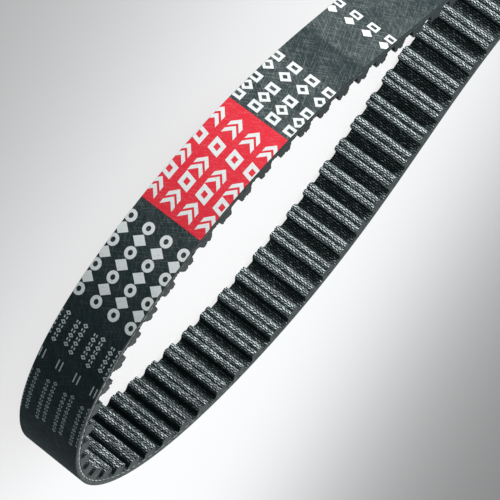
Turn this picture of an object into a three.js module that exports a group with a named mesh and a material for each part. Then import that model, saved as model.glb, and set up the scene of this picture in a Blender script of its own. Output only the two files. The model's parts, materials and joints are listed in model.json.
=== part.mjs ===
// Closed synchronous (timing) belt, 8 mm pitch, 110 teeth, 20 mm wide, lying on one cut edge.
// The loop is drawn as it lies when it is squeezed a little: an oval with a waist.
// Millimetres, +Z along the belt's width, origin under the middle of the loop.
import * as THREE from 'three';

// ---- driving dimensions ----
const pitch = 8; // along the pitch line, tooth to tooth
const toothCount = 110;
const beltWidth = 20;
const pitchLength = pitch * toothCount;
const halfLoop = pitchLength / 2;

// how the pitch line bends, in turns of the curve per millimetre of belt
const evenBend = Math.PI / halfLoop;
const bendWaves = [0.0136, -0.0008, 0.0051]; // 1, 2 and 3 waves in each half of the loop
const firstToothFromNose = 2.94; // the noses fall a little beside a tooth's middle

// heights of the layers above the pitch line, positive towards the teeth
const backSurface = -1.514;
const cordRadius = 0.3;
const bondGap = 0.02; // keeps bonded layers apart as solids
const webTop = 0.446; // rubber that joins the teeth between cords and facing
const landSurface = 0.686;
const facingAtLand = 0.22;

// half of a tooth from its foot to the groove along its crest: [along the belt, above the land]
const toothOutline = [[2.75, 0], [2.2, 1.45], [1.0, 3.2], [0, 2.8]];
const coreOutline = [[2.5, 0], [0.8, 2.62]]; // rubber core under the facing, above the web

// the loop flexes at the land between every eleventh pair of teeth
const teethPerSection = 11;
const sectionCount = toothCount / teethPerSection;
const flexGap = 0.6; // between two sections, so that they can hinge on the cords

// ---- the pitch line ----
const stepsPerMm = 8;

function headingAt(s) {
  const wave = (2 * Math.PI) / halfLoop;
  return bendWaves.reduce(
    (sum, size, i) => sum + (size / (wave * (i + 1))) * Math.sin(wave * (i + 1) * s),
    Math.PI / 2 + evenBend * s,
  );
}

function bendAt(s) {
  const wave = (2 * Math.PI) / halfLoop;
  return bendWaves.reduce((sum, size, i) => sum + size * Math.cos(wave * (i + 1) * s), evenBend);
}

// half of the loop walked in small steps from one nose; the other half is the same, turned round
function walkHalfLoop() {
  const points = [new THREE.Vector2(0, 0)];
  for (let i = 0; i < halfLoop * stepsPerMm; i++) {
    const heading = headingAt((i + 0.5) / stepsPerMm);
    const last = points[i];
    points.push(new THREE.Vector2(
      last.x + Math.cos(heading) / stepsPerMm,
      last.y + Math.sin(heading) / stepsPerMm,
    ));
  }
  const centre = points[points.length - 1].clone().multiplyScalar(0.5);
  return points.map((point) => point.sub(centre));
}

const halfLoopPoints = walkHalfLoop();

// the point at distance s along the pitch line from the nose, and height above it
function beltPoint(s, height) {
  const wrapped = ((s % pitchLength) + pitchLength) % pitchLength;
  const side = wrapped < halfLoop ? 1 : -1;
  const place = (wrapped % halfLoop) * stepsPerMm;
  const index = Math.min(Math.floor(place), halfLoopPoints.length - 2);
  const onLine = halfLoopPoints[index].clone().lerp(halfLoopPoints[index + 1], place - index);
  const heading = headingAt(s);
  return new THREE.Vector2(
    side * onLine.x - Math.sin(heading) * height,
    side * onLine.y + Math.cos(heading) * height,
  );
}

// a point of a tooth; the tooth keeps its width where the belt bends
function toothPoint(middle, along, height) {
  return beltPoint(middle + along / (1 - bendAt(middle) * height), height);
}

// ---- sections and their layers ----
function sectionSpan(index) {
  const cut = firstToothFromNose + (index - 0.5) * teethPerSection * pitch;
  return { cut, start: cut + flexGap / 2, end: cut + teethPerSection * pitch - flexGap / 2 };
}

function toothMiddles(index) {
  const first = sectionSpan(index).cut + pitch / 2;
  return Array.from({ length: teethPerSection }, (unused, i) => first + i * pitch);
}

// a smooth face of one layer, with a point at each end and at the feet of every tooth
function smoothFace(index, height) {
  const { start, end } = sectionSpan(index);
  const foot = toothOutline[0][0];
  const feet = toothMiddles(index).flatMap((middle) => [middle - foot, middle + foot]);
  return [start, ...feet, end].map((s) => beltPoint(s, height));
}

// a toothed face: every tooth is the half outline and its mirror image
function toothedFace(index, baseHeight, outline) {
  const { start, end } = sectionSpan(index);
  const mirrored = outline.filter(([along]) => along > 0).reverse();
  const whole = [...outline.map(([along, rise]) => [-along, rise]), ...mirrored];
  const teeth = toothMiddles(index).flatMap((middle) => whole.map(
    ([along, rise]) => (rise === 0
      ? beltPoint(middle + along, baseHeight)
      : toothPoint(middle, along, baseHeight + rise)),
  ));
  return [beltPoint(start, baseHeight), ...teeth, beltPoint(end, baseHeight)];
}

// the facing's underside follows the core, a bond gap away from it
function facingUnderside() {
  return coreOutline.map(([along, rise]) => [along + bondGap, rise]);
}

function layerMesh(name, outerFace, innerFace, material) {
  const shape = new THREE.Shape([...outerFace, ...innerFace.reverse()]);
  const solid = new THREE.ExtrudeGeometry(shape, { depth: beltWidth, bevelEnabled: false, steps: 1 });
  const mesh = new THREE.Mesh(solid, material.clone());
  mesh.name = name;
  return mesh;
}

const finishes = {
  backing: new THREE.MeshStandardMaterial({ color: 0x1b2224, roughness: 0.6, metalness: 0 }),
  cords: new THREE.MeshStandardMaterial({ color: 0x9c9a8c, roughness: 0.7, metalness: 0 }),
  teeth: new THREE.MeshStandardMaterial({ color: 0x24282a, roughness: 0.7, metalness: 0 }),
  facing: new THREE.MeshStandardMaterial({ color: 0x3a4043, roughness: 0.5, metalness: 0 }),
};

function beltSection(index) {
  const number = String(index + 1).padStart(2, '0');
  const cordsOuter = -cordRadius;
  const section = new THREE.Group();
  section.add(
    layerMesh(`backing_${number}`,
      smoothFace(index, backSurface), smoothFace(index, cordsOuter - bondGap), finishes.backing),
    layerMesh(`cords_${number}`,
      smoothFace(index, cordsOuter), smoothFace(index, cordRadius), finishes.cords),
    layerMesh(`teeth_${number}`,
      smoothFace(index, cordRadius + bondGap), toothedFace(index, webTop, coreOutline), finishes.teeth),
    layerMesh(`facing_${number}`,
      toothedFace(index, landSurface - facingAtLand, facingUnderside()),
      toothedFace(index, landSurface, toothOutline), finishes.facing),
  );
  return section;
}

const timingBelt = new THREE.Group();
for (let index = 0; index < sectionCount; index++) {
  timingBelt.add(beltSection(index));
}

export default timingBelt;
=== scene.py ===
import bpy
import bmesh
import json
import math
import numpy as np
from mathutils import Matrix, Vector

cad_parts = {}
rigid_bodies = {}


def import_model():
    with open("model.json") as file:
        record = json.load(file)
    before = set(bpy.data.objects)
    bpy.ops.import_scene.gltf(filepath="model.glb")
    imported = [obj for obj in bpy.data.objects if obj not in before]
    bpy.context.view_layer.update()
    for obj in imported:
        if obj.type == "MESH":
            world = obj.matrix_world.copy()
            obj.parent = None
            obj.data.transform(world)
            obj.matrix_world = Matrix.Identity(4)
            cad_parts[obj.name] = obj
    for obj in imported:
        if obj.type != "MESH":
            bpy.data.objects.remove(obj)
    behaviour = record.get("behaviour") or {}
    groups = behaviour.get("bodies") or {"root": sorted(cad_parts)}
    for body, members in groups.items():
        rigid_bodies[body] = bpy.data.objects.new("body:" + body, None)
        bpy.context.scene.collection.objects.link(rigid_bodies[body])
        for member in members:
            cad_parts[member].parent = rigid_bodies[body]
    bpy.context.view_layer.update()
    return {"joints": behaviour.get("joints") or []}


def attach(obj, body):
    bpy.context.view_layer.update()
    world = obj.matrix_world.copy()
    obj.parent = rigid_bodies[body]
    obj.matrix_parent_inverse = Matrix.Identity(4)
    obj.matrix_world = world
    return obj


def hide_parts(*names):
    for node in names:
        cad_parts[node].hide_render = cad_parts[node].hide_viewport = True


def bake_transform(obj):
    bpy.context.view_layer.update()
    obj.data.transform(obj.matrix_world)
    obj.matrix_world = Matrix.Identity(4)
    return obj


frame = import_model()

print("belt: course of the loop")

# flat strips are modelled in millimetres: x along the belt, y across it, z above the lands,
# and bending them along the course brings them to metres
millimetre = 0.001
belt = {
    "pitch": 8.0,
    "toothCount": 110,
    "width": 20.0,
    "pitchLineBelowLand": 0.686,
    "back": -2.2,
    "bendWaves": (0.0136, -0.0008, 0.0051),
    "firstToothFromNose": 2.94,
    "teethPerSection": 11,
}
halfLoop = belt["pitch"] * belt["toothCount"] / 2
sectionLength = belt["pitch"] * belt["teethPerSection"]
sectionCount = belt["toothCount"] // belt["teethPerSection"]
waveNumber = 2 * math.pi / halfLoop


def headingAt(s):
    turn = math.pi / 2 + s * math.pi / halfLoop
    for i, size in enumerate(belt["bendWaves"], 1):
        turn = turn + size / (waveNumber * i) * np.sin(waveNumber * i * s)
    return turn


def bendAt(s):
    bend = math.pi / halfLoop + 0 * s
    for i, size in enumerate(belt["bendWaves"], 1):
        bend = bend + size * np.cos(waveNumber * i * s)
    return bend


def walkHalfLoop(stepsPerMm=8):
    middles = (np.arange(int(halfLoop) * stepsPerMm) + 0.5) / stepsPerMm
    x = np.concatenate([[0], np.cumsum(np.cos(headingAt(middles)))]) / stepsPerMm
    y = np.concatenate([[0], np.cumsum(np.sin(headingAt(middles)))]) / stepsPerMm
    return np.arange(len(x)) / stepsPerMm, x - x[-1] / 2, y - y[-1] / 2


walkedLength, walkedX, walkedY = walkHalfLoop()


def coursePoints(s, heightOverPitchLine, across):
    s = np.asarray(s, float)
    wrapped = np.mod(s, 2 * halfLoop)
    side = np.where(wrapped < halfLoop, 1, -1)
    x = np.interp(np.mod(wrapped, halfLoop), walkedLength, walkedX) * side
    y = np.interp(np.mod(wrapped, halfLoop), walkedLength, walkedY) * side
    heading = headingAt(s)
    x = x - np.sin(heading) * heightOverPitchLine
    y = y + np.cos(heading) * heightOverPitchLine
    return np.stack([x, y, across + 0 * x], axis=-1) * millimetre


def bendFlat(flat, start):
    # a tooth keeps its width where the belt bends, and the lands take up the difference
    height = flat[:, 2] + belt["pitchLineBelowLand"]
    middle = (np.floor(flat[:, 0] / belt["pitch"]) + 0.5) * belt["pitch"]
    aside = flat[:, 0] - middle
    share = np.clip(2 - np.abs(aside) / (belt["pitch"] / 4), 0, 1)
    spread = 1 / (1 - bendAt(start + middle) * height)
    s = start + middle + aside * (1 + (spread - 1) * share)
    return coursePoints(s, height, flat[:, 1])


def bodyName(index):
    return f"section_{index % sectionCount + 1:02d}"


def jointPairs():
    return {frozenset((joint["parent"], joint["child"])) for joint in frame["joints"]}


def flexWindows():
    # each visible piece reaches from a land near one section's middle to the next section's,
    # across the hinge between them; the open hinge splits its piece
    windows = []
    for index in range(sectionCount):
        start = belt["firstToothFromNose"] + belt["pitch"] / 2 + index * sectionLength
        before, after = bodyName(index), bodyName(index + 1)
        number = f"{index + 1:02d}"
        if frozenset((before, after)) in jointPairs():
            windows.append({"name": number, "start": start, "from": 0, "to": sectionLength,
                            "bodies": (before, after), "stands": number})
        else:
            toHinge = sectionLength / 2 - belt["pitch"] / 2
            windows.append({"name": number + "a", "start": start, "from": 0, "to": toHinge,
                            "bodies": (before,), "stands": number})
            windows.append({"name": number + "b", "start": start, "from": toHinge,
                            "to": sectionLength, "bodies": (after,), "stands": None})
    return windows


windows = flexWindows()
bendInside = 6


def joinBody(piece, window):
    if len(window["bodies"]) == 1:
        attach(piece, window["bodies"][0])
        return
    ends = coursePoints([window["start"] + bendInside, window["start"] + sectionLength - bendInside],
                        0, belt["width"] / 2)
    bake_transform(piece)


class Wire:
    def __init__(self, finish, socket):
        self.finish = finish
        self.socket = socket

    def math(self, operation, *values):
        return self.finish.node("ShaderNodeMath", {"operation": operation}, dict(enumerate(values)))

    def __add__(self, other):
        return self.math("ADD", self, other)

    def __radd__(self, other):
        return self.math("ADD", other, self)

    def __sub__(self, other):
        return self.math("SUBTRACT", self, other)

    def __rsub__(self, other):
        return self.math("SUBTRACT", other, self)

    def __mul__(self, other):
        return self.math("MULTIPLY", self, other)

    def __rmul__(self, other):
        return self.math("MULTIPLY", other, self)

    def __truediv__(self, other):
        return self.math("DIVIDE", self, other)

    def __pow__(self, other):
        return self.math("POWER", self, other)

    def whole(self):
        return self.math("FLOOR", self)

    def part(self):
        return self.math("FRACT", self)

    def size(self):
        return self.math("ABSOLUTE", self)

    def clamped(self):
        return self.finish.node("ShaderNodeClamp", {}, {"Value": self})


class Finish:
    def __init__(self, name, shader):
        self.material = bpy.data.materials.new(name)
        self.material.use_nodes = True
        self.tree = self.material.node_tree
        self.tree.nodes.clear()
        output = self.tree.nodes.new("ShaderNodeOutputMaterial")
        self.shader = self.tree.nodes.new("ShaderNodeBsdfPrincipled")
        self.tree.links.new(self.shader.outputs[0], output.inputs[0])
        for socket, value in shader.items():
            self.shader.inputs[socket].default_value = value

    def node(self, kind, settings, sockets, out=0):
        node = self.tree.nodes.new(kind)
        for setting, value in settings.items():
            setattr(node, setting, value)
        for socket, value in sockets.items():
            self.feed(node.inputs[socket], value)
        return Wire(self, node.outputs[out])

    def feed(self, socket, value):
        if isinstance(value, Wire):
            self.tree.links.new(value.socket, socket)
        else:
            socket.default_value = value

    def set(self, socket, value):
        self.feed(self.shader.inputs[socket], value)

    def place(self):
        return self.node("ShaderNodeTexCoord", {}, {}, "Object")

    def uv(self):
        return self.node("ShaderNodeUVMap", {"uv_map": "belt"}, {})

    def axis(self, vector, name):
        return self.node("ShaderNodeSeparateXYZ", {}, {"Vector": vector}, name)

    def attribute(self, name):
        return self.node("ShaderNodeAttribute", {"attribute_name": name}, {}, "Fac")

    def streaks(self, turn, size):
        # the UV map turned and drawn out, so that noise on it makes brushed strokes
        return self.node("ShaderNodeMapping", {"vector_type": "TEXTURE"}, {
            "Vector": self.uv(), "Rotation": (0, 0, math.radians(turn)), "Scale": size})

    def noise(self, scale, detail=4, roughness=0.55, where=None):
        where = where or self.place()
        return self.node("ShaderNodeTexNoise", {}, {
            "Vector": where, "Scale": scale, "Detail": detail, "Roughness": roughness})

    def mapped(self, value, low, high, newLow=0.0, newHigh=1.0):
        return self.node("ShaderNodeMapRange", {"clamp": True}, {
            0: value, 1: low, 2: high, 3: newLow, 4: newHigh})

    def mix(self, share, first, second):
        return self.node("ShaderNodeMix", {"data_type": "RGBA"}, {
            0: share, 6: colour(first), 7: colour(second)}, 2)

    def bump(self, height, strength, distance):
        self.set("Normal", self.node("ShaderNodeBump", {}, {
            "Strength": strength, "Distance": distance, "Height": height}))


def colour(value):
    return (*value, 1) if isinstance(value, tuple) and len(value) == 3 else value


cloth = {
    "rowWidth": 0.72,  # millimetres, as are the other lengths
    "floatLength": 1.25,
    "slant": 0.9,
    "rowSharp": 4.6,
    "endSharp": 4.2,
    "relief": 0.11,
    "thickness": 0.26,
    "bond": 0.01,  # between the cloth and the rubber under it
}


def backRubber():
    # ground rubber: fine crossing scratches, cloudy, and greyer away from the dark end, the greying being
    # painted light and sheen
    look = {"dark": (0.0040, 0.0170, 0.0195), "ground": (0.050, 0.065, 0.067),
            "scratch": (0.30, 0.325, 0.315), "strokes": ((24, 0.5), (62, 0.42), (121, 0.5)),
            "strokeSize": (6.5, 0.31, 1), "strokeEdge": (0.53, 0.63), "grain": 1900, "cloud": 95,
            "cloudEdge": (0.40, 0.60), "cloudRange": (0.25, 1.05), "gloss": (0.6, 0.45),
            "bumpDepth": 0.00006}
    finish = Finish("backRubber", {"Roughness": 0.55, "Specular IOR Level": 0.26})
    scratch = 0
    for turn, strength in look["strokes"]:
        streaks = finish.streaks(turn, look["strokeSize"])
        scratch = scratch + finish.mapped(finish.noise(1.0, 2, 0.55, streaks), *look["strokeEdge"]) * strength
    grain = finish.noise(look["grain"], 3, 0.75)
    cloud = finish.noise(look["cloud"], 4, 0.6)
    # this share is painted light and sheen along the belt, with one band of the rubber's own tone; it also
    # fades the scratches near the nose
    worn = finish.attribute("worn")
    share = finish.mapped(cloud * 0.6 + grain * 0.4, *look["cloudEdge"], *look["cloudRange"]) * worn
    body = finish.mix(share.clamped(), look["dark"], look["ground"])
    marked = (scratch * (grain * 1.9 - 0.3) * (worn * 0.8 + 0.05)).clamped()
    finish.set("Base Color", finish.mix(marked, body, look["scratch"]))
    finish.set("Roughness", finish.mapped(scratch, 0, 1, *look["gloss"]))
    finish.bump(scratch * 0.4 + grain * 0.5, 0.5, look["bumpDepth"])
    return finish.material


def cutRubber(name, dark, light):
    # rubber left rough by the knife, with dust in its pits, and darkened along the printed run as painted
    # shade
    look = {"grain": 1700, "torn": 420, "dustEdge": (0.38, 0.64), "shaded": 0.7, "bumpDepth": 0.00012}
    finish = Finish(name, {"Roughness": 0.68, "Specular IOR Level": 0.25})
    grain = finish.noise(look["grain"], 4, 0.75)
    torn = finish.noise(look["torn"], 3, 0.6)
    dustAndPaintedShade = finish.mapped(grain * 0.6 + torn * 0.4, *look["dustEdge"])
    # painted shade: the cut faces are darker along the printed run
    dustAndPaintedShade = dustAndPaintedShade * (1 - finish.attribute("paintedShade") * look["shaded"])
    finish.set("Base Color", finish.mix(dustAndPaintedShade, dark, light))
    finish.bump(grain * 0.6 + torn, 0.9, look["bumpDepth"])
    return finish.material


def facingCloth():
    # the UV map counts rows of yarn in u and floats along a row in v
    look = {"ground": (0.0050, 0.0130, 0.0142), "yarn": (0.0068, 0.0155, 0.0166),
            # the pale fleck colour, partly bare yarn and partly painted glints
            "worn": (0.80, 0.88, 0.88), "fibre": 6500, "fleckEdge": (0.28, 0.72), "gloss": (0.72, 0.45),
            "bumpDepth": 0.00012}
    finish = Finish("facingCloth", {"Roughness": 0.6, "Specular IOR Level": 0.18})
    uv = finish.uv()
    u = finish.axis(uv, "X")
    v = finish.axis(uv, "Y")
    aside = u.part() - 0.5
    slant = (u.whole() * 0.5).part() * 4 - 1
    along = (v + u.whole() * 0.5 + aside * slant * cloth["slant"]).part() - 0.5
    yarnFloat = (1 - aside * aside * cloth["rowSharp"] - along * along * cloth["endSharp"]).clamped()
    wearAndGlint = finish.attribute("wearAndGlint")
    # painted shade: the flecks are dimmer near the nose, from the painted light share along the belt
    paintedNoseShade = finish.attribute("worn") * 0.9 + 0.48
    fibre = finish.noise(look["fibre"], 3, 0.7)
    fleck = finish.mapped(yarnFloat * (0.6 + fibre * 0.8), *look["fleckEdge"])
    # painted glints: the pale flecks stand partly for bare yarn and partly for light glinting off the floats,
    # one random glint to a float
    bright = fleck * finish.attribute("glint") * wearAndGlint * paintedNoseShade
    base = finish.mix(finish.mapped(yarnFloat, 0.0, 0.55), look["ground"], look["yarn"])
    finish.set("Base Color", finish.mix(bright.clamped(), base, look["worn"]))
    finish.set("Roughness", finish.mapped(bright, 0, 1, *look["gloss"]))
    rough = (yarnFloat * 0.8 + fibre * 0.3) * (wearAndGlint + 0.15).clamped()
    finish.bump(rough, 0.8, look["bumpDepth"])
    return finish.material


def cordYarn():
    # the bare strand is palest around the end of the loop that the print starts from, and darker away from it
    # as painted shade that follows the painted light share
    look = {"dark": (0.022, 0.030, 0.030), "dull": (0.075, 0.095, 0.094), "pale": (0.44, 0.49, 0.48),
            "lobeEdge": (0.54, 1.0), "darkerFrom": (0.16, 0.6), "mottle": 500, "bumpDepth": 0.00008}
    finish = Finish("cordYarn", {"Roughness": 0.55, "Specular IOR Level": 0.4})
    uv = finish.uv()
    ply = ((finish.axis(uv, "X") * 0.9 + finish.axis(uv, "Y")).part() - 0.5).size() * 2
    share = finish.mapped(ply * 0.55 + finish.noise(look["mottle"], 3), *look["lobeEdge"])
    darkerAwayFromNose = finish.mapped(finish.attribute("worn"), *look["darkerFrom"])
    light = finish.mix(darkerAwayFromNose, look["pale"], look["dull"])
    finish.set("Base Color", finish.mix(share, look["dark"], light))
    finish.bump(ply, 0.6, look["bumpDepth"])
    return finish.material


def ink(name, full, worn, wornFrom=0.52):
    # brushed thin where the print is worn
    look = {"brushTurn": 60, "brushSize": (4.0, 0.35, 1), "grain": 2600, "wornOver": 0.16,
            "bumpDepth": 0.00004}
    finish = Finish(name, {"Roughness": 0.6, "Specular IOR Level": 0.3})
    brushed = finish.noise(1.0, 4, 0.7, finish.streaks(look["brushTurn"], look["brushSize"]))
    grain = finish.noise(look["grain"], 3, 0.7)
    share = finish.mapped(brushed * 0.55 + grain * 0.45, wornFrom, wornFrom + look["wornOver"])
    finish.set("Base Color", finish.mix(share, full, worn))
    finish.bump(brushed + grain * 0.6, 0.4, look["bumpDepth"])
    return finish.material


print("belt: finishes")
backSkin = backRubber()
cutEdge = cutRubber("cutRubber", (0.007, 0.013, 0.014), (0.062, 0.075, 0.074))
cutCloth = cutRubber("cutCloth", (0.008, 0.012, 0.012), (0.050, 0.062, 0.061))
toothRubber = cutRubber("toothRubber", (0.004, 0.010, 0.011), (0.046, 0.060, 0.060))
clothSkin = facingCloth()
yarn = cordYarn()
whiteInk = ink("whiteInk", (0.84, 0.86, 0.85), (0.50, 0.54, 0.53))
# painted shade: the print nearer the nose is the same white ink made darker, the more so the nearer it lies
shadedWhiteInk = ink("shadedWhiteInk", (0.68, 0.73, 0.73), (0.32, 0.36, 0.36), 0.50)
deeplyShadedWhiteInk = ink("deeplyShadedWhiteInk", (0.46, 0.51, 0.52), (0.16, 0.20, 0.20), 0.48)
redInk = ink("redInk", (0.79, 0.022, 0.044), (0.84, 0.13, 0.15), 0.5)


def smoothOutline(points, rounds):
    points = np.array(points, float)
    for _ in range(rounds):
        near = points[:-1] * 0.75 + points[1:] * 0.25
        far = points[:-1] * 0.25 + points[1:] * 0.75
        inner = np.stack([near, far], axis=1).reshape(-1, 2)
        points = np.concatenate([points[:1], inner, points[-1:]])
    return points


def evenlySpaced(points, count):
    lengths = np.concatenate([[0], np.cumsum(np.linalg.norm(np.diff(points, axis=0), axis=1))])
    wanted = np.linspace(0, lengths[-1], count + 1)
    return np.stack([np.interp(wanted, lengths, points[:, axis]) for axis in (0, 1)], axis=1)


tooth = {
    # from the middle of a land up one flank, over the crest and into the groove along its middle
    "half": [(-4.0, 0), (-3.1, 0), (-2.75, 0.03), (-2.48, 0.32), (-2.32, 0.95), (-2.2, 1.7),
             (-2.04, 2.4), (-1.78, 2.95), (-1.35, 3.25), (-0.85, 3.25), (-0.42, 3.1),
             (-0.25, 2.62), (0, 2.5)],
    "columns": 84,
    "rows": 88,
}


def toothOutline():
    half = smoothOutline(tooth["half"], 3)
    whole = np.concatenate([half, (half * (-1, 1))[::-1][1:]])
    whole = evenlySpaced(whole, tooth["columns"])
    return whole + (belt["pitch"] / 2, 0)


def stripOutline(teeth):
    one = toothOutline()
    many = [one[:-1] + (belt["pitch"] * i, 0) for i in range(teeth)]
    return np.concatenate([*many, one[-1:] + (belt["pitch"] * (teeth - 1), 0)])


def outlineNormals(points):
    ahead = np.gradient(points, axis=0)
    normals = np.stack([-ahead[:, 1], ahead[:, 0]], axis=1)
    return normals / np.linalg.norm(normals, axis=1, keepdims=True)


def shape(bm, move):
    # moves every vertex by one array function of all their places
    bm.verts.ensure_lookup_table()
    places = np.array([vertex.co for vertex in bm.verts])
    for vertex, place in zip(bm.verts, move(places)):
        vertex.co = place


def flatGrid(columns, rows):
    bm = bmesh.new()
    bmesh.ops.create_grid(bm, x_segments=columns, y_segments=rows, size=0.5)
    shape(bm, lambda at: (at + (0.5, 0.5, 0)) * (columns, belt["width"], 1))
    return bm


def markSharp(bm):
    for edge in bm.edges:
        kinds = {face.material_index for face in edge.link_faces}
        edge.smooth = len(kinds) == 1
    for face in bm.faces:
        face.smooth = True


def toMesh(bm, name, materials):
    bmesh.ops.recalc_face_normals(bm, faces=bm.faces)
    mesh = bpy.data.meshes.new(name)
    bm.to_mesh(mesh)
    bm.free()
    for material in materials:
        mesh.materials.append(material)
    return mesh


def wander(x, y, seed, reach=1.0):
    # a slow, seeded waver for what a loom and a mould leave uneven
    rng = np.random.default_rng(seed)
    total = 0 * x
    for _ in range(6):
        kx, ky = rng.uniform(0.15, 1.6, 2) * rng.choice((-1, 1), 2)
        total = total + np.sin(kx * x + ky * y + rng.uniform(0, 6.28)) / 6
    return total * reach


def weave(u, v):
    # the same slanted floats that the cloth's finish paints, and which float each place is on
    row = np.floor(u)
    aside = u - row - 0.5
    slant = (row * 0.5 - np.floor(row * 0.5)) * 4 - 1
    along = v + row * 0.5 + aside * slant * cloth["slant"]
    number = np.floor(along)
    along = along - number - 0.5
    height = np.clip(1 - cloth["rowSharp"] * aside ** 2 - cloth["endSharp"] * along ** 2, 0, 1)
    return height, row.astype(int), number.astype(int)


facing = {
    "rowWander": 0.25,  # how far rows and floats stray, in rows and floats
    "floatWander": 0.4,
    "calmEnds": 3,  # millimetres at a strip's ends where they keep straight, to meet the next strip
    "hem": 0.22,  # how far single yarns stand out of the cut edge
    "leastLift": 0.65,  # a float's height, from its fate of 0 to 1
    "fateLift": 0.7,
    "steepFlattens": 0.85,
    "crestFrom": 1.3,  # height over the land from which the crest is rubbed bare and carries painted glints
    "crestOver": 1.6,
    "grooveHalf": 0.3,
    "grooveWear": 0.45,
    "crestWear": 0.97,
    "landWear": 0.21,
    "landDepth": 0.5,
    "leastWear": 0.006,
    "leastGlint": 0.36,
    "fateGlint": 1.6,
    "glintPower": 2.1,
}


def clothSheet(columns):
    # the outer face in fine squares, closed by two walls, two ends and one plain underside
    bm = flatGrid(columns, tooth["rows"])
    sides = [edge for edge in bm.edges if edge.is_boundary and abs(
        edge.verts[0].co.y - edge.verts[1].co.y) < 1e-6]
    grown = bmesh.ops.extrude_edge_only(bm, edges=sides)["geom"]
    for vertex in grown:
        if isinstance(vertex, bmesh.types.BMVert):
            vertex.co.z = -1
    under = [edge for edge in grown if isinstance(edge, bmesh.types.BMEdge)
             and all(vertex.co.z < 0 for vertex in edge.verts)]
    bmesh.ops.bridge_loops(bm, edges=under)
    gaps = [edge for edge in bm.edges if edge.is_boundary]
    bmesh.ops.holes_fill(bm, edges=gaps)
    for face in bm.faces:
        face.material_index = 1 if any(vertex.co.z < 0 for vertex in face.verts) else 0
    markSharp(bm)
    return bm


def wearAndGlintMask(along, height):
    # rubbed bare on the two ridges of a crest, less so in its groove, and a little on the lands; this also
    # places painted glints and painted light on the shoulders
    crest = np.clip((height - facing["crestFrom"]) / facing["crestOver"], 0, 1) ** 2
    fromMiddle = np.abs(along % belt["pitch"] - belt["pitch"] / 2)
    outOfGroove = np.clip(fromMiddle / facing["grooveHalf"] - 0.3, 0, 1)
    crest = crest * (facing["grooveWear"] + (1 - facing["grooveWear"]) * outOfGroove)
    land = np.clip(1 - height / facing["landDepth"], 0, 1)
    return crest * facing["crestWear"] + land * facing["landWear"] + facing["leastWear"]


def facingStrip():
    outline = stripOutline(belt["teethPerSection"])
    normals = outlineNormals(outline)
    columns = len(outline) - 1
    bm = clothSheet(columns)
    steps = np.concatenate([[0], np.cumsum(np.linalg.norm(np.diff(outline, axis=0), axis=1))])
    rowsPerMm = round(steps[-1] / cloth["rowWidth"] / 2) * 2 / steps[-1]
    places = np.array([vertex.co for vertex in bm.verts])
    column = np.rint(places[:, 0]).astype(int)
    y, outer = places[:, 1], places[:, 2] > -0.5
    at = steps[column]
    calm = np.clip(np.minimum(at, steps[-1] - at) / facing["calmEnds"], 0, 1)
    u = at * rowsPerMm + wander(at, y, 5, facing["rowWander"]) * calm
    v = y / cloth["floatLength"] + wander(at, y, 6, facing["floatWander"]) * calm
    height, row, number = weave(u, v)
    row, number = row - row.min(), number - number.min()
    fate = np.random.default_rng(7).random((row.max() + 1, number.max() + 1))[row, number]
    steep = np.abs(normals[column, 0])
    lift = height * (facing["leastLift"] + facing["fateLift"] * fate) - 0.55
    lift = cloth["relief"] * lift * (1 - facing["steepFlattens"] * steep)
    lift = np.where(outer, lift, -cloth["thickness"])
    x = outline[column, 0] + normals[column, 0] * lift
    x = np.where((column == 0) | (column == columns), outline[column, 0], x)
    z = outline[column, 1] + normals[column, 1] * lift
    cutEdges = (y < 0.01) | (y > belt["width"] - 0.01)
    hem = np.where(cutEdges, 1, 0) * (fate - 0.4) * facing["hem"]
    y = np.where(outer, y + np.sign(y - belt["width"] / 2) * hem, y)
    for vertex, place in zip(bm.verts, np.stack([x, y, z], axis=1)):
        vertex.co = place
    mesh = toMesh(bm, "facingFlat", [clothSkin, cutCloth])
    keepAttribute(mesh, "wearAndGlint", wearAndGlintMask(outline[column, 0], outline[column, 1]))
    # painted glints: each float's own random brightness
    keepAttribute(mesh, "glint", facing["leastGlint"] + facing["fateGlint"] * fate ** facing["glintPower"])
    setUv(mesh, u, v)
    return mesh


def keepAttribute(mesh, name, values):
    mesh.attributes.new(name, "FLOAT", "POINT").data.foreach_set("value", values.astype(np.float32))


def setUv(mesh, u, v):
    corners = np.empty(len(mesh.loops), int)
    mesh.loops.foreach_get("vertex_index", corners)
    uv = np.stack([u, v], axis=1)[corners]
    mesh.uv_layers.new(name="belt").data.foreach_set("uv", uv.ravel())


def vertexPlaces(mesh):
    places = np.empty(len(mesh.vertices) * 3)
    mesh.vertices.foreach_get("co", places)
    return places.reshape(-1, 3)


def layerStrip(name, top, bottom, materials, columns, bevel=0.0):
    # a solid strip between two outlines given as [x, z] at every column
    bm = flatGrid(columns, 1)
    grown = bmesh.ops.extrude_face_region(bm, geom=list(bm.faces))["geom"]
    for vertex in grown:
        if isinstance(vertex, bmesh.types.BMVert):
            vertex.co.z = -1
    for face in bm.faces:
        flat = len({round(vertex.co.z) for vertex in face.verts}) == 1
        face.material_index = 0 if flat else 1

    def wrap(at):
        column = np.rint(at[:, 0]).astype(int)
        upper = (at[:, 2] > -0.5)[:, None]
        place = np.where(upper, top[column], bottom[column])
        return np.stack([place[:, 0], at[:, 1], place[:, 1]], axis=1)

    shape(bm, wrap)
    if bevel:
        rims = [edge for edge in bm.edges
                if all(abs(vertex.co.z - bottom[0][1]) < 1e-4 for vertex in edge.verts)
                and abs(edge.verts[0].co.y - edge.verts[1].co.y) < 1e-4
                and min(edge.verts[0].co.y, belt["width"] - edge.verts[0].co.y) < 1e-4]
        bmesh.ops.bevel(bm, geom=rims, offset=bevel, segments=2, profile=0.5, material=-1,
                        affect="EDGES", clamp_overlap=True)
    markSharp(bm)
    mesh = toMesh(bm, name, materials)
    places = vertexPlaces(mesh)
    setUv(mesh, places[:, 0], places[:, 1])
    return mesh


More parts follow.
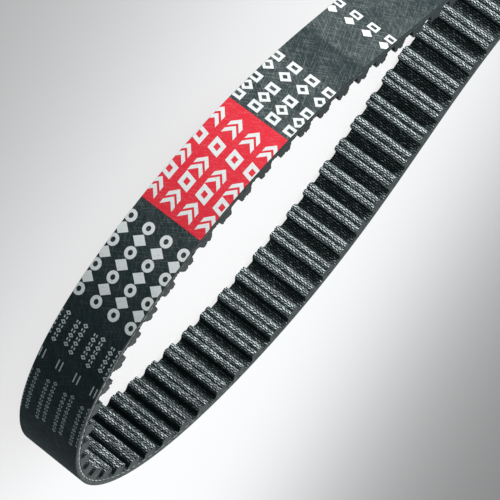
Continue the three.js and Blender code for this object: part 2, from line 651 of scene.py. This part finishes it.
# heights are over the lands, as in a flat strip
backing = {"top": -1.006, "columns": 110, "rimBevel": 0.12}
core = {"bottom": -0.366, "lowest": -0.28}  # the rubber inside the teeth, and its web
cords = {"radius": 0.30, "columns": 110, "bandWidth": 0.97, "edgeRadius": 0.33, "edgeGap": 0.02,
         "lay": 2.4, "plies": 3, "twist": 0.035, "around": 12, "steps": 352}


def levelLine(x, height):
    return np.stack([x, np.full_like(x, height)], axis=1)


def backingStrip():
    x = np.linspace(0, sectionLength, backing["columns"] + 1)
    top, bottom = levelLine(x, backing["top"]), levelLine(x, belt["back"])
    return layerStrip("backingFlat", top, bottom, [backSkin, cutEdge], backing["columns"],
                      backing["rimBevel"])


def toothRubberStrip():
    outline = stripOutline(belt["teethPerSection"])
    top = outline - outlineNormals(outline) * (cloth["thickness"] + cloth["bond"])
    top[0, 0], top[-1, 0] = 0, sectionLength
    top[:, 1] = np.maximum(top[:, 1], core["lowest"])
    bottom = levelLine(outline[:, 0], core["bottom"])
    return layerStrip("toothRubberFlat", top, bottom, [toothRubber, toothRubber], len(outline) - 1)


def cordStrip():
    # the band of side by side cords, and the strand that each cut edge lays bare
    x = np.linspace(0, sectionLength, cords["columns"] + 1)
    centre = -belt["pitchLineBelowLand"]
    top, bottom = levelLine(x, centre + cords["radius"]), levelLine(x, centre - cords["radius"])
    band = layerStrip("cordsFlat", top, bottom, [cutEdge, cutEdge, yarn], cords["columns"])
    middle = belt["width"] / 2
    bm = bmesh.new()
    bm.from_mesh(band)
    shape(bm, lambda at: (at - (0, middle, 0)) * (1, cords["bandWidth"], 1) + (0, middle, 0))
    uvLayer = bm.loops.layers.uv["belt"]
    fromEdge = cords["edgeRadius"] + cords["edgeGap"]
    for y in (fromEdge, belt["width"] - fromEdge):
        addStrand(bm, y, centre, uvLayer)
    bm.to_mesh(band)
    bm.free()
    return band


def addStrand(bm, y, z, uvLayer):
    # one cord, twisted from its plies
    made = bmesh.ops.create_grid(bm, x_segments=cords["steps"], y_segments=cords["around"],
                                 size=0.5)["verts"]
    turns = {}
    for vertex in made:
        x = (vertex.co.x + 0.5) * sectionLength
        angle = (vertex.co.y + 0.5) * 2 * math.pi
        turns[vertex] = (x, angle / (2 * math.pi) * cords["plies"])
        lobe = math.cos(cords["plies"] * (angle + 2 * math.pi * x / cords["lay"] / cords["plies"]))
        radius = cords["edgeRadius"] - cords["twist"] + cords["twist"] * lobe
        vertex.co = Vector((x, y + radius * math.cos(angle), z + radius * math.sin(angle)))
    faces = {face for vertex in made for face in vertex.link_faces}
    for face in faces:
        face.material_index = 2
        face.smooth = True
        for loop in face.loops:
            x, ply = turns[loop.vert]
            loop[uvLayer].uv = (x / cords["lay"], ply)
    bmesh.ops.remove_doubles(bm, verts=made, dist=1e-5)
    ring = [edge for face in faces if face.is_valid for edge in face.edges if edge.is_boundary]
    for face in bmesh.ops.holes_fill(bm, edges=list(set(ring)))["faces"]:
        face.material_index = 2


def trimmed(flat, window):
    # the open hinge splits a strip at the middle of a land
    if window["from"] == 0 and window["to"] == sectionLength:
        return flat.copy()
    bm = bmesh.new()
    bm.from_mesh(flat)
    for x, way in ((window["from"], -1), (window["to"], 1)):
        if 0 < x < sectionLength:
            everything = list(bm.verts) + list(bm.edges) + list(bm.faces)
            bmesh.ops.bisect_plane(bm, geom=everything, dist=1e-4, plane_co=(x, 0, 0),
                                   plane_no=(way, 0, 0), clear_outer=True)
            gaps = [edge for edge in bm.edges if edge.is_boundary]
            for face in bmesh.ops.holes_fill(bm, edges=gaps)["faces"]:
                face.material_index = 1
                for edge in face.edges:
                    edge.smooth = False
    mesh = flat.copy()
    bm.to_mesh(mesh)
    bm.free()
    return mesh


# painted light and shade along the belt, with one band of the rubber's own tone
paintedLightAndTone = {
    # each pair is where a change starts and how long it takes, in millimetres from the nose that
    # the print starts at, along the printed run
    "fromNose": (45, 85),
    "least": 0.16,
    "pastPrint": (152, 40),
    "pastDarkens": 0.5,
    "bandEnd": 149,
    "bandFade": 14,
    "bandDarkens": 0.6,
    "paintedShade": (50, 60),
    "runEnds": (420, 90),
}


def printedRun(s):
    return 2 * halfLoop - np.mod(s, 2 * halfLoop)


def rising(away, change):
    start, length = change
    return np.clip((away - start) / length, 0, 1)


def beforeRunEnds(away):
    end, length = paintedLightAndTone["runEnds"]
    return np.clip((end - away) / length, 0, 1)


def paintedSheenAndToneShare(s):
    # painted light and sheen: darkest at the nose, greyest away from it and darker again past the
    # print; a darker band with one clean edge, the rubber's own tone, crosses the back beyond the square
    # marks
    fromNose = np.abs(np.mod(s + halfLoop, 2 * halfLoop) - halfLoop)
    share = rising(fromNose, paintedLightAndTone["fromNose"])
    share = paintedLightAndTone["least"] + (1 - paintedLightAndTone["least"]) * share * share * (3 - 2 * share)
    away = printedRun(s)
    past = rising(away, paintedLightAndTone["pastPrint"]) * beforeRunEnds(away)
    band = (away < paintedLightAndTone["bandEnd"]) * np.clip(1 - (paintedLightAndTone["bandEnd"] - away) / paintedLightAndTone["bandFade"], 0, 1)
    return share * (1 - paintedLightAndTone["pastDarkens"] * past) * (1 - paintedLightAndTone["bandDarkens"] * band)


def paintedEdgeShade(s):
    # painted shade: the cut faces stay near black along the printed run and grey everywhere else
    away = printedRun(s)
    return rising(away, paintedLightAndTone["paintedShade"]) * beforeRunEnds(away)


def layStrip(flat, window, name, node):
    mesh = trimmed(flat, window)
    mesh.name = name
    flatPlaces = vertexPlaces(mesh)
    bent = bendFlat(flatPlaces, window["start"])
    along = window["start"] + flatPlaces[:, 0]
    # painted light and sheen along the belt, with one band of the rubber's own tone, for every layer
    keepAttribute(mesh, "worn", paintedSheenAndToneShare(along))
    # painted shade on the cut faces along the printed run
    keepAttribute(mesh, "paintedShade", paintedEdgeShade(along))
    mesh.vertices.foreach_set("co", bent.ravel())
    mesh.flip_normals()  # the bend turns the flat strip's axes inside out
    mesh.update()
    piece = bpy.data.objects.new(name, mesh)
    bpy.context.collection.objects.link(piece)
    if window["stands"]:
        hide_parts(f"{node}_{window['stands']}")
    joinBody(piece, window)
    return piece


layers = [
    ("back_rubber", backingStrip, "backing_rubber", "backing"),
    ("edge_cords", cordStrip, "glass_cord", "cords"),
    ("tooth_rubber", toothRubberStrip, "tooth_rubber", "teeth"),
    ("nylon_facing", facingStrip, "tooth_facing", "facing"),
]
for layerName, makeFlat, slotName, nodeName in layers:
    print("belt:", layerName)
    flatMesh = makeFlat()
    for window in windows:
        layStrip(flatMesh, window, f"{layerName}_{window['name']}", nodeName)
    bpy.data.meshes.remove(flatMesh)


printing = {
    "thickness": 0.03,
    "lift": 0.012,  # over the back, so that no two faces lie together
    "rows": (1.0, 6.95, 12.9, 18.8),
    "margin": 0.06,
    "facet": 1.0,
    "fineStep": 1.36,
}


def inkSheet(outlines, name, material):
    # flat marks, each a filled outline or a pair of them for a frame, become thin sheets of ink
    bm = bmesh.new()
    for outline in outlines:
        loops = outline if isinstance(outline[0][0], (tuple, list)) else [outline]
        edges = []
        for loop in loops:
            corners = [bm.verts.new((x, y, 0)) for x, y in loop]
            edges += [bm.edges.new((a, b)) for a, b in zip(corners, corners[1:] + corners[:1])]
        bmesh.ops.triangle_fill(bm, edges=edges, use_beauty=True)
    trimToWidth(bm)
    sliceAlong(bm)
    grown = bmesh.ops.extrude_face_region(bm, geom=list(bm.faces))["geom"]
    for vertex in grown:
        if isinstance(vertex, bmesh.types.BMVert):
            vertex.co.z = -printing["thickness"]
    return toMesh(bm, name, [material])


def trimToWidth(bm):
    for y, way in ((printing["margin"], -1), (belt["width"] - printing["margin"], 1)):
        everything = list(bm.verts) + list(bm.edges) + list(bm.faces)
        bmesh.ops.bisect_plane(bm, geom=everything, dist=1e-4, plane_co=(0, y, 0),
                               plane_no=(0, way, 0), clear_outer=True)


def sliceAlong(bm):
    # short facets along the belt, so that the ink follows its bend
    low = min(vertex.co.x for vertex in bm.verts)
    high = max(vertex.co.x for vertex in bm.verts)
    for x in np.arange(low + printing["facet"], high, printing["facet"]):
        everything = list(bm.verts) + list(bm.edges) + list(bm.faces)
        bmesh.ops.bisect_plane(bm, geom=everything, dist=1e-4, plane_co=(x, 0, 0), plane_no=(1, 0, 0))


def ellipse(x, y, wide, high, points=28):
    turns = [2 * math.pi * i / points for i in range(points)]
    return [(x + wide / 2 * math.cos(t), y + high / 2 * math.sin(t)) for t in turns]


def ring(x, y, wide, high, stroke):
    return [ellipse(x, y, wide, high), ellipse(x, y, wide - 2 * stroke, high - 2 * stroke)]


def bar(x, y, wide, high, lean=0.0):
    half, tall = wide / 2, high / 2
    corners = ((-half, -tall), (half, -tall), (half, tall), (-half, tall))
    return [(x + dx - lean * dy, y + dy) for dx, dy in corners]


def hollowBar(x, y, wide, high, stroke, lean=0.0):
    return [bar(x, y, wide, high, lean), bar(x, y, wide - 2 * stroke, high - 2 * stroke, lean)]


def lozenge(x, y, wide, high):
    return [(x - wide / 2, y), (x, y - high / 2), (x + wide / 2, y), (x, y + high / 2)]


def hollowLozenge(x, y, wide, high, inner):
    return [lozenge(x, y, wide, high), lozenge(x, y, wide * inner, high * inner)]


def finePattern(x, y, length, high):
    # a fine line of hollow lozenges with two dashes between them
    marks = []
    for i in range(int(length / printing["fineStep"])):
        at = x + 0.7 + i * printing["fineStep"]
        if i % 2:
            marks += [bar(at, y - high * 0.26, 0.72, 0.36), bar(at, y + high * 0.26, 0.72, 0.36)]
        else:
            marks.append(hollowLozenge(at, y, 1.35, high * 1.12, 0.42))
    return marks


def eachRow(marks):
    # marks(y) gives one row's outlines; the rows repeat across the belt and its edges cut them
    return [outline for y in printing["rows"] for outline in marks(y)]


def layInk(outlines, name, material, place, lift=printing["lift"]):
    window = next(w for w in windows if w["start"] <= place + 2 * halfLoop < w["start"] + sectionLength)
    mesh = inkSheet(outlines, name, material)
    flat = vertexPlaces(mesh)
    setUv(mesh, flat[:, 0], flat[:, 1])
    height = belt["back"] + belt["pitchLineBelowLand"] - lift - printing["thickness"] - flat[:, 2]
    mesh.vertices.foreach_set("co", coursePoints(place - flat[:, 0], height, flat[:, 1]).ravel())
    mesh.update()
    bm = bmesh.new()
    bm.from_mesh(mesh)
    bmesh.ops.recalc_face_normals(bm, faces=bm.faces)
    bm.to_mesh(mesh)
    bm.free()
    piece = bpy.data.objects.new(name, mesh)
    bpy.context.collection.objects.link(piece)
    piece.visible_diffuse = False  # red ink throws no glow on the white paper
    joinBody(piece, window)
    return piece


print("belt: printed marks")


def careLines(y):
    return finePattern(0, y - 1.1, 15.0, 1.3) + finePattern(0.8, y + 1.1, 15.4, 1.3)


def doubleBars(y):
    return [bar(1.4, y - 0.62, 2.9, 0.36), bar(1.4, y + 0.62, 2.9, 0.36)]


def originLines(y):
    return finePattern(1.0, y - 1.15, 8.6, 1.5) + finePattern(0, y + 1.15, 10.4, 1.5)


def roundMarks(y):
    # rings with a solid lozenge between each two
    marks = [ring(x, y, 3.5, 3.3, 0.98) for x in (1.75, 9.35, 16.95, 24.55)]
    return marks + [lozenge(x, y, 3.7, 4.4) for x in (5.55, 13.15, 20.75)]


def chevron(x, y, wide, high, stroke):
    # an arrowhead that points along the belt
    half, tall = wide / 2, high / 2
    return [(x - half, y - tall), (x - half + stroke, y - tall), (x + half, y),
            (x - half + stroke, y + tall), (x - half, y + tall), (x + half - stroke, y)]


def chevronMarks(y):
    # pairs of arrowheads with a slanted frame between each two
    marks = [chevron(x, y, 3.6, 4.0, 1.5) for x in (1.9, 4.3, 13.0, 15.4, 26.2, 28.6)]
    return marks + [hollowBar(x, y, 3.9, 3.8, 1.15, 0.22) for x in (8.75, 20.6)]


def squareMarks(y):
    # upright frames with hollow lozenges between them
    marks = [hollowBar(x, y, 2.7, 3.5, 0.86) for x in (1.35, 8.15, 16.8)]
    return marks + [hollowLozenge(x, y, 3.6, 4.4, 0.42) for x in (4.75, 13.0)]


def pairMarks(y):
    return [lozenge(1.3, y, 2.8, 3.6), hollowBar(4.3, y, 2.3, 3.2, 0.7)]


# where each run of marks starts, in millimetres from the nose along the printed run
printed = [
    ("print_care_lines", careLines, deeplyShadedWhiteInk, 15.2),
    ("print_double_bars", doubleBars, shadedWhiteInk, 34.2),
    ("print_origin_lines", originLines, shadedWhiteInk, 40.0),
    ("print_round_marks", roundMarks, whiteInk, 53.8),
    ("print_square_marks", squareMarks, whiteInk, 119.3),
    ("print_pair_marks", pairMarks, whiteInk, 157.4),
]
redBlock = {"start": 83.8, "length": 34.5, "marksFrom": 85.0}

for markName, marks, material, away in printed:
    layInk(eachRow(marks), markName, material, -away)
block = bar(redBlock["length"] / 2, belt["width"] / 2, redBlock["length"], belt["width"])
layInk([block], "print_red_block", redInk, -redBlock["start"])
layInk(eachRow(chevronMarks), "print_chevron_marks", whiteInk, -redBlock["marksFrom"],
       printing["lift"] + printing["thickness"])


print("belt: floor, light and camera")


def paperWithPaintedPool():
    # plain paper with a painted pool of light: palest in a long pool around the belt, greyer far off
    look = {"far": (0.190, 0.185, 0.186), "near": (0.945, 0.923, 0.925), "middle": (0.179, 0.117),
            "turn": math.radians(-53.34), "halfWidth": 0.193, "halfLength": 0.705}
    finish = Finish("paperWithPaintedPool", {"Roughness": 0.9, "Specular IOR Level": 0.1})
    x = finish.axis(finish.place(), "X") - look["middle"][0]
    y = finish.axis(finish.place(), "Y") - look["middle"][1]
    cos, sin = math.cos(look["turn"]), math.sin(look["turn"])
    across = (x * cos + y * sin) / look["halfWidth"]
    along = (x * -sin + y * cos) / look["halfLength"]
    # painted pool of light
    paintedLightPool = ((across * across + along * along) ** 1.5 + 1) ** -1
    finish.set("Base Color", finish.mix(paintedLightPool, look["far"], look["near"]))
    return finish.material


floorHalfWidth = 6  # metres


def floor():
    bm = bmesh.new()
    bmesh.ops.create_grid(bm, x_segments=1, y_segments=1, size=floorHalfWidth)
    mesh = toMesh(bm, "floor", [paperWithPaintedPool()])
    piece = bpy.data.objects.new("floor", mesh)
    bpy.context.collection.objects.link(piece)
    piece.visible_diffuse = False  # the black belt keeps its depth over the white paper
    piece.visible_glossy = False
    return piece


lamps = [
    # metres, degrees and watts
    {"name": "keyLight", "aim": (-0.02, 0.02, 0.01), "azimuth": -126, "elevation": 29,
     "distance": 0.64, "size": (0.2, 0.16), "watts": 6.0},
    {"name": "topLight", "aim": (0.05, 0, 0.01), "azimuth": -150, "elevation": 68,
     "distance": 0.9, "size": (0.4, 0.4), "watts": 1.6},
    {"name": "backLight", "aim": (0.05, 0, 0.01), "azimuth": 70, "elevation": 40,
     "distance": 1.0, "size": (0.5, 0.4), "watts": 7},
]
surroundings = {"colour": (0.84, 0.97, 1.0), "strength": 0.26, "paperSun": 2.6}


def softLight(setting):
    lamp = bpy.data.lights.new(setting["name"], "AREA")
    lamp.shape = "RECTANGLE"
    lamp.size, lamp.size_y = setting["size"]
    lamp.energy = setting["watts"]
    light = bpy.data.objects.new(setting["name"], lamp)
    aside, up = math.radians(setting["azimuth"]), math.radians(setting["elevation"])
    way = Vector((math.cos(up) * math.cos(aside), math.cos(up) * math.sin(aside), math.sin(up)))
    light.location = Vector(setting["aim"]) + way * setting["distance"]
    light.rotation_euler = (-way).to_track_quat("-Z", "Y").to_euler()
    light.visible_camera = False
    bpy.context.collection.objects.link(light)
    return light


def paperGroup(name, paper, state):
    # the lamps on the belt pass over the paper, and the paper's own light passes over the belt
    group = bpy.data.collections.new(name)
    group.objects.link(paper)
    group.collection_objects[0].light_linking.link_state = state
    return group


def studio(paper):
    world = bpy.data.worlds.new("studio")
    bpy.context.scene.world = world
    world.use_nodes = True
    world.node_tree.nodes["Background"].inputs[0].default_value = colour(surroundings["colour"])
    world.node_tree.nodes["Background"].inputs[1].default_value = surroundings["strength"]
    for setting in lamps:
        light = softLight(setting)
        light.light_linking.receiver_collection = paperGroup(light.name + "Off", paper, "EXCLUDE")
    sun = bpy.data.lights.new("paperLight", "SUN")
    sun.energy = surroundings["paperSun"]
    glow = bpy.data.objects.new("paperLight", sun)
    bpy.context.collection.objects.link(glow)
    glow.light_linking.receiver_collection = paperGroup("paperLit", paper, "INCLUDE")
    glow.light_linking.blocker_collection = paperGroup("paperShaded", paper, "INCLUDE")
    bpy.context.scene.view_settings.view_transform = "Standard"


def camera():
    view = {"lookAt": (0.1105, 0.0128, 0.010), "azimuth": 13.57, "elevation": 17.9,
            "distance": 0.855, "roll": 127.1, "lens": 223.2}
    lens = bpy.data.cameras.new("camera")
    lens.lens = view["lens"]
    lens.clip_start = 0.01
    eye = bpy.data.objects.new("camera", lens)
    turn = (Matrix.Rotation(math.radians(view["azimuth"]), 4, "Z")
            @ Matrix.Rotation(math.radians(90 - view["elevation"]), 4, "X")
            @ Matrix.Rotation(math.radians(view["roll"]), 4, "Z"))
    back = turn.to_3x3() @ Vector((0, 0, 1))
    eye.matrix_world = Matrix.Translation(Vector(view["lookAt"]) + back * view["distance"]) @ turn
    bpy.context.collection.objects.link(eye)
    bpy.context.scene.camera = eye


studio(floor())
camera()
